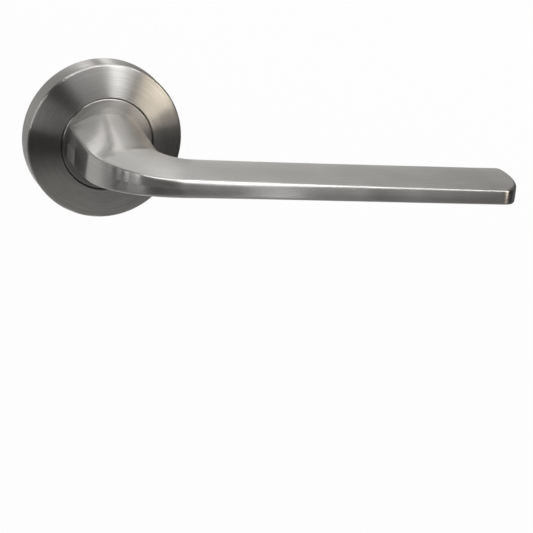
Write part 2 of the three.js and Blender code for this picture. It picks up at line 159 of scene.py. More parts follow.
class EffectGroups:
    """Shader effects that several finishes share, each built once as a node group."""

    def __init__(self) -> None:
        """Builds every group."""
        self.brush_grain = self._brush_grain()
        self.hand_marks = self._hand_marks()
        self.edge_wear = self._edge_wear()

    @staticmethod
    def _start(name: str, inputs: dict[str, tuple[str, object]], outputs: dict[str, str]) -> tuple:
        """Makes an empty group with its sockets.

        Args:
            name: Name of the group.
            inputs: Input name to socket type and default value.
            outputs: Output name to socket type.

        Returns:
            The group, its sheet, its input node and its output node.
        """
        group = bpy.data.node_groups.new(name, "ShaderNodeTree")
        for label, (kind, value) in inputs.items():
            socket = group.interface.new_socket(name=label, in_out="INPUT", socket_type=kind)
            if value is not None:
                socket.default_value = value
        for label, kind in outputs.items():
            group.interface.new_socket(name=label, in_out="OUTPUT", socket_type=kind)
        sheet = NodeSheet(group)
        start = group.nodes.new("NodeGroupInput")
        end = group.nodes.new("NodeGroupOutput")
        return group, sheet, start, end

    def _brush_grain(self) -> bpy.types.NodeTree:
        """Fine scratches and broad tonal bands, along coordinates that are already stretched."""
        group, sheet, start, end = self._start(
            "brush_grain",
            {"Way": ("NodeSocketVector", None), "Broad": ("NodeSocketFloat", 0.45)},
            {"Height": "NodeSocketFloat", "Tone": "NodeSocketFloat"},
        )
        way, broad = start.outputs["Way"], start.outputs["Broad"]
        scratches = {"Vector": way, "Scale": 1.0, "Detail": 4.0, "Roughness": 0.72}
        fine = sheet.add("TexNoise", scratches).outputs["Fac"]
        wide_way = sheet.add("VectorMath", {0: way, "Scale": broad}, operation="SCALE").outputs[0]
        bands = {"Vector": wide_way, "Scale": 1.0, "Detail": 3.0, "Roughness": 0.6}
        wide = sheet.add("TexNoise", bands).outputs["Fac"]
        tone = sheet.math("MULTIPLY_ADD", fine, 0.4, sheet.math("MULTIPLY", wide, 0.6))
        group.links.new(fine, end.inputs["Height"])
        group.links.new(tone, end.inputs["Tone"])
        return group

    def _hand_marks(self) -> bpy.types.NodeTree:
        """Soft cloudy marks that hands and cloths leave, as a mask."""
        group, sheet, start, end = self._start(
            "hand_marks",
            {"Place": ("NodeSocketVector", None), "Scale": ("NodeSocketFloat", 60.0)},
            {"Mask": "NodeSocketFloat"},
        )
        clouds = {"Vector": start.outputs["Place"], "Scale": start.outputs["Scale"]}
        noise = sheet.add("TexNoise", {**clouds, "Detail": 5.0, "Distortion": 0.8})
        group.links.new(sheet.ramp(noise.outputs["Fac"], 0.42, 0.68, 0.0, 1.0), end.inputs["Mask"])
        return group

    def _edge_wear(self) -> bpy.types.NodeTree:
        """Bright worn edges, from how far a place stands proud, as a mask."""
        group, sheet, start, end = self._start(
            "edge_wear",
            {"Amount": ("NodeSocketFloat", 1.0)},
            {"Mask": "NodeSocketFloat"},
        )
        proud = sheet.add("NewGeometry").outputs["Pointiness"]
        mask = sheet.ramp(proud, 0.51, 0.58, 0.0, 1.0)
        group.links.new(sheet.math("MULTIPLY", mask, start.outputs["Amount"]), end.inputs["Mask"])
        return group


# ------------------------------------------------------------------ finishes
@dataclass(frozen=True)
class Finish:
    """One metal or plastic finish.

    Attributes:
        slot: Material slot of the record.
        colour: Base colour.
        dark: Colour in the grain's valleys.
        roughness: Lowest and highest roughness.
        across: Scratches per metre across the grain.
        depth: Bump distance in metres.
        grain: Way in which the surface was worked.
        along: How fast scratches change along the grain.
        anisotropy: Stretch of highlights across the grain.
        wear: Strength of worn edges.
        metallic: 1 for metal.
    """

    slot: str
    colour: tuple[float, float, float]
    dark: tuple[float, float, float]
    roughness: tuple[float, float]
    across: float
    depth: float
    grain: Grain = Grain.CAST
    along: float = 0.0
    anisotropy: float = 0.0
    wear: float = 0.3
    metallic: float = 1.0

    def make(self, groups: EffectGroups) -> bpy.types.Material:
        """Builds the material.

        Args:
            groups: The shared effects.

        Returns:
            The material.
        """
        material = bpy.data.materials.new(self.slot)
        material.use_nodes = True
        material.node_tree.nodes.clear()
        sheet = NodeSheet(material.node_tree)
        place = sheet.add("TexCoord").outputs["Object"]
        grain = sheet.add("Group", node_tree=groups.brush_grain)
        sheet.tree.links.new(self._way(sheet, place), grain.inputs["Way"])
        marks = sheet.add("Group", node_tree=groups.hand_marks)
        sheet.tree.links.new(place, marks.inputs["Place"])
        wear = sheet.add("Group", node_tree=groups.edge_wear)
        wear.inputs["Amount"].default_value = self.wear
        share = sheet.ramp(grain.outputs["Tone"], 0.36, 0.64, 0.0, 1.0)
        body = sheet.mix("RGBA", share, (*self.dark, 1), (*self.colour, 1))
        bright = tuple(min(1.0, c * 1.25 + 0.03) for c in self.colour)
        colour = sheet.mix("RGBA", wear.outputs["Mask"], body, (*bright, 1))
        low, high = self.roughness
        smoother = sheet.ramp(grain.outputs["Tone"], 0.3, 0.7, high, low)
        rough = sheet.math("MULTIPLY_ADD", marks.outputs["Mask"], 0.05, smoother)
        ridges = {"Height": grain.outputs["Height"], "Distance": self.depth, "Strength": 1.0}
        normal = sheet.add("Bump", ridges).outputs[0]
        shader = sheet.add(
            "BsdfPrincipled",
            {"Base Color": colour, "Roughness": rough, "Metallic": self.metallic, "Normal": normal},
        )
        if self.anisotropy:
            shader.inputs["Anisotropic"].default_value = self.anisotropy
            shader.inputs["Anisotropic Rotation"].default_value = 0.25
            sheet.tree.links.new(self._tangent(sheet), shader.inputs["Tangent"])
        output = sheet.add("OutputMaterial", {"Surface": shader.outputs[0]})
        output.is_active_output = True
        return material

    def _way(self, sheet: NodeSheet, place: bpy.types.NodeSocket) -> bpy.types.NodeSocket:
        """Coordinates stretched along the grain, in scratches."""
        if self.grain is Grain.TURNED:
            return self._turned_way(sheet, place)
        if self.grain is Grain.ALONG:
            run = sheet.add("UVMap", uv_map="brush_way").outputs[0]
            lengthwise = sheet.vector("MULTIPLY", run, (self.along, self.across, 0)).outputs[0]
            around = sheet.vector("MULTIPLY", run, (self.across, self.along * 2, 0)).outputs[0]
            return self._by_zone(sheet, lengthwise, around)
        return sheet.vector("MULTIPLY", place, (self.across,) * 3).outputs[0]

    def _turned_way(self, sheet: NodeSheet, place: bpy.types.NodeSocket) -> bpy.types.NodeSocket:
        """Coordinates that run in circles about the spindle's axis."""
        parts = sheet.add("SeparateXYZ", {0: place}).outputs
        flat = sheet.add("CombineXYZ", {"X": parts["X"], "Z": parts["Z"]}).outputs[0]
        radius = sheet.vector("LENGTH", flat).outputs["Value"]
        compass = sheet.add("SeparateXYZ", {0: sheet.vector("NORMALIZE", flat).outputs[0]}).outputs
        reach = sheet.math("MULTIPLY", sheet.math("ADD", radius, parts["Y"]), self.across)
        east = sheet.math("MULTIPLY", compass["X"], self.along)
        north = sheet.math("MULTIPLY", compass["Z"], self.along)
        return sheet.add("CombineXYZ", {"X": reach, "Y": east, "Z": north}).outputs[0]

    @staticmethod
    def _by_zone(
        sheet: NodeSheet, lengthwise: bpy.types.NodeSocket, around: bpy.types.NodeSocket
    ) -> bpy.types.NodeSocket:
        """Takes one vector on the neck, which is brushed around, and the other on the rest.

        Args:
            sheet: The material's sheet.
            lengthwise: Vector for the bend and the grip.
            around: Vector for the neck.

        Returns:
            The mixed vector.
        """
        zone = sheet.add("UVMap", uv_map="neck_zone").outputs[0]
        neck = sheet.ramp(sheet.add("SeparateXYZ", {0: zone}).outputs["X"], 0.35, 0.65, 0.0, 1.0)
        return sheet.mix("VECTOR", neck, lengthwise, around)

    def _tangent(self, sheet: NodeSheet) -> bpy.types.NodeSocket:
        """Direction of the grain at each place."""
        if self.grain is not Grain.ALONG:
            return sheet.add("Tangent", direction_type="RADIAL", axis="Y").outputs[0]
        lengthwise = sheet.add("Tangent", direction_type="UV_MAP", uv_map="brush_way").outputs[0]
        normal = sheet.add("NewGeometry").outputs["Normal"]
        around = sheet.vector("CROSS_PRODUCT", normal, lengthwise).outputs[0]
        return self._by_zone(sheet, lengthwise, around)


FINISHES = (
    Finish(
        "lever_satin",
        colour=(0.64, 0.63, 0.615),
        dark=(0.53, 0.522, 0.51),
        roughness=(0.26, 0.33),
        grain=Grain.ALONG,
        across=5200,
        along=60,
        depth=1.4e-6,
        anisotropy=0.9,
        wear=0.0,
    ),
    Finish(
        "rose_turned",
        colour=(0.63, 0.618, 0.60),
        dark=(0.47, 0.46, 0.445),
        roughness=(0.27, 0.35),
        grain=Grain.TURNED,
        across=4600,
        along=3.5,
        depth=1.6e-6,
        anisotropy=0.92,
        wear=0.0,
    ),
    Finish(
        "drive_steel",
        colour=(0.50, 0.51, 0.52),
        dark=(0.38, 0.39, 0.40),
        roughness=(0.3, 0.45),
        across=900,
        depth=1.2e-5,
    ),
    Finish(
        "zinc_casting",
        colour=(0.42, 0.43, 0.44),
        dark=(0.33, 0.34, 0.35),
        roughness=(0.5, 0.65),
        across=1600,
        depth=3e-5,
    ),
    Finish(
        "spring_steel",
        colour=(0.24, 0.25, 0.27),
        dark=(0.16, 0.165, 0.18),
        roughness=(0.25, 0.4),
        across=1200,
        depth=1e-5,
    ),
    Finish(
        "black_steel",
        colour=(0.045, 0.045, 0.047),
        dark=(0.02, 0.02, 0.022),
        roughness=(0.35, 0.5),
        across=1200,
        depth=1e-5,
        wear=0.5,
    ),
    Finish(
        "plated_screw",
        colour=(0.72, 0.66, 0.48),
        dark=(0.60, 0.53, 0.36),
        roughness=(0.25, 0.4),
        across=1400,
        depth=8e-6,
    ),
    Finish(
        "nylon",
        colour=(0.045, 0.046, 0.05),
        dark=(0.03, 0.03, 0.034),
        roughness=(0.5, 0.62),
        across=2200,
        depth=1.5e-5,
        wear=0.2,
        metallic=0.0,
    ),
)


class Paintbox:
    """All finishes of the handle, made once."""

    def __init__(self) -> None:
        """Makes each finish's material."""
        groups = EffectGroups()
        self.materials = {finish.slot: finish.make(groups) for finish in FINISHES}

    def dress(self, piece: bpy.types.Object, slot: str) -> None:
        """Gives a piece its finish.

        Args:
            piece: The piece.
            slot: Material slot of the record.
        """
        piece.data.materials.clear()
        piece.data.materials.append(self.materials[slot])

    def dress_node(self, node: str, slot: str) -> None:
        """Gives a CAD node that stays in view its finish."""
        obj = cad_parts[node]
        for place in obj.material_slots:
            place.material = self.materials[slot]
        if not obj.material_slots:
            obj.data.materials.append(self.materials[slot])


# ------------------------------------------------------------------ mesh tools
def soft_corner(start: Vector, corner: Vector, end: Vector, steps: int) -> Profile:
    """Points of the curve that leaves start towards corner and arrives at end."""
    shares = [k / steps for k in range(steps + 1)]
    points = [start * (1 - t) ** 2 + corner * 2 * t * (1 - t) + end * t**2 for t in shares]
    return [(point.x, point.y) for point in points]


def rounded(profile: Profile, radius: float, steps: int = 4) -> Profile:
    """Softens the corners of a closed profile, apart from corners on the axis.

    Args:
        profile: Corners as (radius, out).
        radius: Length taken from each side of a corner.
        steps: Pieces in each rounded corner.

    Returns:
        The softened profile.
    """
    result: Profile = []
    count = len(profile)
    for i, corner in enumerate(profile):
        here = Vector(corner)
        before = Vector(profile[i - 1]) - here
        after = Vector(profile[(i + 1) % count]) - here
        if here.x < SAME_SPOT:
            result.append(corner)
            continue
        start = here + before.normalized() * min(radius, before.length * 0.45)
        end = here + after.normalized() * min(radius, after.length * 0.45)
        result += soft_corner(start, here, end, steps)
    return result


def band(inner: float, outer: float, back: float, front: float) -> Profile:
    """Rectangular profile between two radii and two distances out."""
    return [(inner, back), (outer, back), (outer, front), (inner, front)]


def square(half: float) -> Profile:
    """Outline of a square about the spindle's axis."""
    return band(-half, half, -half, half)


def depths(node: str) -> Spot:
    """Distances out of a CAD node's back and front."""
    low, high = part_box(node)
    return -high[1], -low[1]


def middle(node: str) -> Spot:
    """x and z of a CAD node's middle."""
    low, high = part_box(node)
    return (low[0] + high[0]) / 2, (low[2] + high[2]) / 2


def skin(work: bmesh.types.BMesh, rings: Sequence[list]) -> None:
    """Closes a row of rings with as many points each into a tube with flat ends."""
    for first, second in zip(rings, rings[1:]):
        for k in range(len(first)):
            j = (k + 1) % len(first)
            work.faces.new([first[k], first[j], second[j], second[k]])
    work.faces.new(rings[0][::-1])
    work.faces.new(rings[-1])


def finish_mesh(name: str, work: bmesh.types.BMesh, crease: float = SHARP) -> bpy.types.Object:
    """Turns a bmesh into a smooth-shaded object whose hard edges stay sharp.

    Args:
        name: Name of the piece.
        work: The mesh; it is freed.
        crease: Angle in degrees above which an edge is sharp.

    Returns:
        The object, linked to the scene.
    """
    bmesh.ops.remove_doubles(work, verts=work.verts, dist=SAME_SPOT)
    bmesh.ops.recalc_face_normals(work, faces=work.faces)
    mesh = bpy.data.meshes.new(name)
    work.to_mesh(mesh)
    work.free()
    mesh.shade_smooth()
    mesh.set_sharp_from_angle(angle=math.radians(crease))
    piece = bpy.data.objects.new(name, mesh)
    bpy.context.scene.collection.objects.link(piece)
    return piece


def revolve(
    name: str,
    profile: Profile,
    segments: int = 96,
    centre: Spot = (0.0, 0.0),
    swell: Swell | None = None,
) -> bpy.types.Object:
    """Makes a solid of revolution about a line along the spindle axis.

    Args:
        name: Name of the piece.
        profile: Closed outline as (radius, out).
        segments: Facets around.
        centre: x and z of the line.
        swell: Gives an addition to the radius at an angle and a distance out, such as a thread.

    Returns:
        The piece.
    """
    work = bmesh.new()
    rings = []
    for radius, out in profile:
        if radius < SAME_SPOT:
            rings.append([work.verts.new((centre[0], -out, centre[1]))])
            continue
        ring = []
        for k in range(segments):
            angle = 2 * math.pi * k / segments
            reach = radius + (swell(angle, out) if swell else 0.0)
            x = centre[0] + reach * math.cos(angle)
            z = centre[1] + reach * math.sin(angle)
            ring.append(work.verts.new((x, -out, z)))
        rings.append(ring)
    for i, ring in enumerate(rings):
        following = rings[(i + 1) % len(rings)]
        if len(ring) == 1 and len(following) == 1:
            continue
        for k in range(segments):
            j = (k + 1) % segments
            corners = [ring[k % len(ring)], ring[j % len(ring)]]
            corners += [following[j % len(following)], following[k % len(following)]]
            unique = list(dict.fromkeys(corners))
            if len(unique) > 2:
                work.faces.new(unique)
    return finish_mesh(name, work)


def prism(name: str, outline: Profile, back: float, front: float) -> bpy.types.Object:
    """Makes a straight bar from an outline in x and z, between two distances out."""
    work = bmesh.new()
    skin(work, [[work.verts.new((x, -out, z)) for x, z in outline] for out in (back, front)])
    return finish_mesh(name, work)


def settle(piece: bpy.types.Object) -> bpy.types.Object:
    """Applies a piece's modifiers to its mesh and returns it."""
    evaluated = piece.evaluated_get(bpy.context.evaluated_depsgraph_get())
    mesh = bpy.data.meshes.new_from_object(evaluated)
    piece.modifiers.clear()
    old = piece.data
    piece.data = mesh
    bpy.data.meshes.remove(old)
    return piece


def bevelled(piece: bpy.types.Object, width: float, segments: int = 3) -> bpy.types.Object:
    """Rounds a piece's hard edges.

    Args:
        piece: The piece.
        width: Width of the bevel in metres.
        segments: Facets in the bevel.

    Returns:
        The piece.
    """
    bevel = piece.modifiers.new("edges", "BEVEL")
    bevel.width = width
    bevel.segments = segments
    bevel.limit_method = "ANGLE"
    bevel.angle_limit = math.radians(BEVELLED_ABOVE)
    bevel.use_clamp_overlap = True
    return settle(piece)


def combine(piece: bpy.types.Object, others: Sequence[bpy.types.Object], operation: str) -> bpy.types.Object:
    """Joins others to a piece, or cuts them from it, and removes them.

    Args:
        piece: The piece that is kept.
        others: The pieces that are used up.
        operation: UNION or DIFFERENCE.

    Returns:
        The piece.
    """
    for i, other in enumerate(others):
        step = piece.modifiers.new(f"step_{i}", "BOOLEAN")
        step.operation = operation
        step.solver = "EXACT"
        step.object = other
    settle(piece)
    for other in others:
        bpy.data.objects.remove(other, do_unlink=True)
    piece.data.shade_smooth()
    piece.data.set_sharp_from_angle(angle=math.radians(SHARP))
    return piece


def polar(reach: float, angle: float) -> Spot:
    """x and z of a point at a reach and an angle in degrees about the spindle."""
    return reach * math.cos(math.radians(angle)), reach * math.sin(math.radians(angle))


def sweep(name: str, path: Sequence[Vector], radius: float, sides: int = 12) -> bpy.types.Object:
    """Makes a round wire along a path, with domed ends.

    Args:
        name: Name of the piece.
        path: Points that the wire's centre follows.
        radius: Radius of the wire.
        sides: Facets around the wire.

    Returns:
        The piece.
    """
    tangents = []
    for i in range(len(path)):
        ahead = path[min(i + 1, len(path) - 1)] - path[max(i - 1, 0)]
        tangents.append(ahead.normalized())
    side = tangents[0].orthogonal().normalized()
    stations = []
    for point, tangent in zip(path, tangents):
        side = (side - tangent * side.dot(tangent)).normalized()
        stations.append((point, side, tangent.cross(side), radius))
    domes = []
    for end, way in ((0, -1.0), (-1, 1.0)):
        point, a, b, _ = stations[end]
        past = [1 - share for share in (0.15, 0.5, 0.85)]
        bow = [(point + tangents[end] * way * radius * p, a, b, radius * math.sqrt(1 - p**2)) for p in past]
        domes.append(bow)
    work = bmesh.new()
    turns = [2 * math.pi * k / sides for k in range(sides)]
    rings = []
    for point, a, b, r in domes[0] + stations + domes[1][::-1]:
        rings.append([work.verts.new(point + a * r * math.cos(t) + b * r * math.sin(t)) for t in turns])
    skin(work, rings)
    return finish_mesh(name, work, 60)


def place(piece: bpy.types.Object, body: Body, paint: Paintbox, slot: str, *nodes: str) -> bpy.types.Object:
    """Puts a piece on its body, gives it its finish and hides the CAD nodes it stands for.

    Args:
        piece: The piece.
        body: Body it rides on.
        paint: The finishes.
        slot: Material slot.
        *nodes: CAD nodes it replaces.

    Returns:
        The piece.
    """
    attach(piece, body.value)
    paint.dress(piece, slot)
    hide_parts(*nodes)
    LOG.info("%s: %d faces on %s", piece.name, len(piece.data.polygons), body.value)
    return piece


# ------------------------------------------------------------------ lever
@dataclass
class LeverForm:
    """Plan and section of the cast lever, in metres. Distances out are from the door's surface."""

    foot: float = 12.25 * MM
    neck_outer_x: float = -13.4 * MM
    neck_inner_x: float = 13.2 * MM
    neck_outer_end: float = 38.0 * MM
    neck_inner_end: float = 31.0 * MM
    outer_bend: tuple[float, float] = (25.5 * MM, 25.2 * MM)
    inner_bend: tuple[float, float] = (8.5 * MM, 7.3 * MM)
    grip_front: float = 63.2 * MM
    grip_rear: tuple[float, float] = (38.3 * MM, 33.3 * MM)
    tip_x: float = 128.4 * MM
    tip_rear: float = 4.0 * MM
    tip_front: tuple[float, float] = (9.0 * MM, 21.2 * MM)
    tip_power: float = 2.6
    tip_roll: float = 1.0 * MM
    face_half: tuple[float, ...] = (5.15 * MM, 4.65 * MM, 2.95 * MM, 2.35 * MM)
    crown_half: tuple[float, ...] = (10.3 * MM, 7.0 * MM, 4.75 * MM, 3.45 * MM)
    edge_round: tuple[float, ...] = (0.35 * MM, 0.45 * MM, 0.8 * MM, 1.7 * MM, 0.8 * MM, 0.5 * MM)
    edge_places: tuple[float, ...] = (0.0, 1.0, 1.7, 2.15, 2.5, 3.0)
    face_bulge: float = 0.16 * MM
    peak: float = 0.46
    fullness: tuple[float, float] = (2.0, 2.8)
    steps: tuple[int, int, int, int] = (16, 44, 70, 30)

    def plan(self, s: float) -> tuple[Vector, Vector]:
        """Outer and inner plan points at s: 0 foot, 1 bend start, 2 bend end, 3 where the tip begins.

        Args:
            s: Place along the lever.

        Returns:
            Outer and inner point as (x, out).
        """
        bend_x = self.neck_outer_x + self.outer_bend[0]
        inner_x = self.neck_inner_x + self.inner_bend[0]
        if s <= 1:
            outer = (self.neck_outer_x, self.foot + (self.neck_outer_end - self.foot) * s)
            inner = (self.neck_inner_x, self.foot + (self.neck_inner_end - self.foot) * s)
            return Vector(outer), Vector(inner)
        if s <= 2:
            a = (s - 1) * math.pi / 2
            outer = (
                bend_x - self.outer_bend[0] * math.cos(a),
                self.neck_outer_end + self.outer_bend[1] * math.sin(a),
            )
            inner = (
                inner_x - self.inner_bend[0] * math.cos(a),
                self.neck_inner_end + self.inner_bend[1] * math.sin(a),
            )
            return Vector(outer), Vector(inner)
        end = self.tip_start()
        t = s - 2
        x = inner_x + (end - inner_x) * t
        return Vector((bend_x + (end - bend_x) * t, self.grip_front)), Vector((x, self.rear_edge(x)))

    def tip_start(self) -> float:
        """x where the blade's rounded end begins."""
        return self.tip_x - self.tip_front[0]

    def rear_edge(self, x: float) -> float:
        """Out of the straight rear edge at x; the blade widens a little towards its tip."""
        start = self.neck_inner_x + self.inner_bend[0]
        near, far = self.grip_rear
        return near + (far - near) * (x - start) / (self.tip_x - start)

    def tip_edges(self, x: float) -> Spot:
        """Out of the front and the rear edge of the rounded end at x."""
        reach, depth = self.tip_front
        front_share = min(max((x - self.tip_x + reach) / reach, 0.0), 1.0)
        rear_share = min(max((x - self.tip_x + self.tip_rear) / self.tip_rear, 0.0), 1.0)
        power = self.tip_power
        front = self.grip_front - depth * (1 - (1 - front_share**power) ** (1 / power))
        rear = self.rear_edge(x) + self.tip_rear * (1 - math.sqrt(1 - rear_share**2))
        return front, rear

    def tip_reach(self, out: float) -> float:
        """x of the rounded end's outline at a distance out."""
        reach, depth = self.tip_front
        rear = self.rear_edge(self.tip_x)
        if out > self.grip_front - depth:
            level = min(max(1 - (self.grip_front - out) / depth, 0.0), 1.0)
            return self.tip_x - reach + reach * (1 - level**self.tip_power) ** (1 / self.tip_power)
        if out < rear + self.tip_rear:
            level = min(max(1 - (out - rear) / self.tip_rear, 0.0), 1.0)
            return self.tip_x - self.tip_rear + self.tip_rear * math.sqrt(1 - level**2)
        return self.tip_x

    def height(self, across: float, width: float, face: float, crown: float, fullness: float) -> float:
        """Half height of a section at a distance from the flat face."""
        if across <= self.peak * width:
            return face + (crown - face) * math.sin(max(across, 0.0) / (self.peak * width) * math.pi / 2)
        beyond = min((across / width - self.peak) / (1 - self.peak), 1.0)
        return crown * (1 - beyond**fullness) ** (1 / fullness)

    def tip_section(self, x: float) -> Profile:
        """Outline of a section through the rounded end: the full section, cut to the end's plan.

        A wall as tall as the flat face runs round the end, and a soft edge leads from it to the crown.

        Args:
            x: Place of the section.

        Returns:
            The outline as (across, up).
        """
        width = self.grip_front - self.rear_edge(x)
        face, crown, full = self.face_half[-1], self.crown_half[-1], self.fullness[1]
        front, rear = self.tip_edges(x)
        first, last = self.grip_front - front, self.grip_front - rear
        result = []
        for across, up in self.section(width, face, crown, self.edge_round[-1], full):
            spot = first + (last - first) * across / width
            top = self.height(spot, width, face, crown, full)
            wall = min(face * 0.92, top)
            inside = min(max(self.tip_reach(self.grip_front - spot) - x, 0.0) / self.tip_roll, 1.0)
            here = wall + (top - wall) * math.sqrt(1 - (1 - inside) ** 2)
            full_top = max(self.height(across, width, face, crown, full), 1e-9)
            share = max(min(up / full_top, 1.0), -1.0)
            result.append((spot, here * share))
        return result

    def section(self, width: float, face: float, crown: float, soft: float, fullness: float) -> Profile:
        """Closed outline of a section as (across, up), from the flat face over the crown and back below.

        Args:
            width: Width from the flat face to the far side.
            face: Half height of the flat face.
            crown: Half height of the crown.
            soft: Size of the rounded edge between face and crown.
            fullness: Roundness of the far side: 2 is an ellipse, more is fuller.

        Returns:
            The outline.
        """
        soft = min(soft, face * 0.6, width * 0.1)
        bulge = min(self.face_bulge, face * 0.06)
        face_steps, soft_steps, rise_steps, fall_steps = 5, 7, 14, 18
        form = (width, face, crown, fullness)
        half = [(0.0, 0.0)]
        for k in range(1, face_steps):
            up = (face - soft) * k / face_steps
            half.append((bulge * (up / face) ** 2, up))
        start = Vector((bulge * (1 - soft / face) ** 2, face - soft))
        end = Vector((bulge + soft, self.height(bulge + soft, *form)))
        corner = Vector((bulge * (1 - soft / face), self.height(bulge, *form)))
        half += soft_corner(start, corner, end, soft_steps)
        for k in range(1, rise_steps + 1):
            across = end.x + (self.peak * width - end.x) * k / rise_steps
            half.append((across, self.height(across, *form)))
        for k in range(1, fall_steps + 1):
            a = k / fall_steps * math.pi / 2
            across = self.peak + (1 - self.peak) * math.sin(a) ** (2 / fullness)
            half.append((across * width, crown * max(math.cos(a), 0.0) ** (2 / fullness)))
        half[-1] = (width, 0.0)
        return half + [(across, -up) for across, up in reversed(half[1:-1])]


def eased(values: Sequence[float], stations: Sequence[float], at: float) -> float:
    """Smooth curve through values given at stations.

    Args:
        values: The values.
        stations: Where they hold, rising.
        at: Where the curve is read.

    Returns:
        The value there.
    """
    last = len(values) - 1
    gaps = [stations[i + 1] - stations[i] for i in range(last)]
    slopes = [(values[i + 1] - values[i]) / gaps[i] for i in range(last)]
    knots = [slopes[0]]
    for i in range(1, last):
        steep, shallow = slopes[i - 1], slopes[i]
        knots.append(0.0 if steep * shallow <= 0 else 2 * steep * shallow / (steep + shallow))
    knots.append(slopes[-1])
    i = 0
    while i < last - 1 and at > stations[i + 1]:
        i += 1
    t = min(max((at - stations[i]) / gaps[i], 0.0), 1.0)
    h00 = 2 * t**3 - 3 * t**2 + 1
    h10 = t**3 - 2 * t**2 + t
    h01 = -2 * t**3 + 3 * t**2
    h11 = t**3 - t**2
    return h00 * values[i] + h10 * gaps[i] * knots[i] + h01 * values[i + 1] + h11 * gaps[i] * knots[i + 1]


@dataclass(frozen=True)
class Station:
    """One section of the lever.

    Attributes:
        outer: Plan point on the flat face's side.
        inner: Plan point on the far side.
        face: Half height of the flat face.
        soft: Size of the rounded edge between face and crown.
        outline: The section as (across, up).
        run: Distance along the lever.
        place: 0 foot, 1 bend start, 2 bend end, 3 tip.
    """

    outer: Vector
    inner: Vector
    face: float
    soft: float
    outline: Profile
    run: float
    place: float


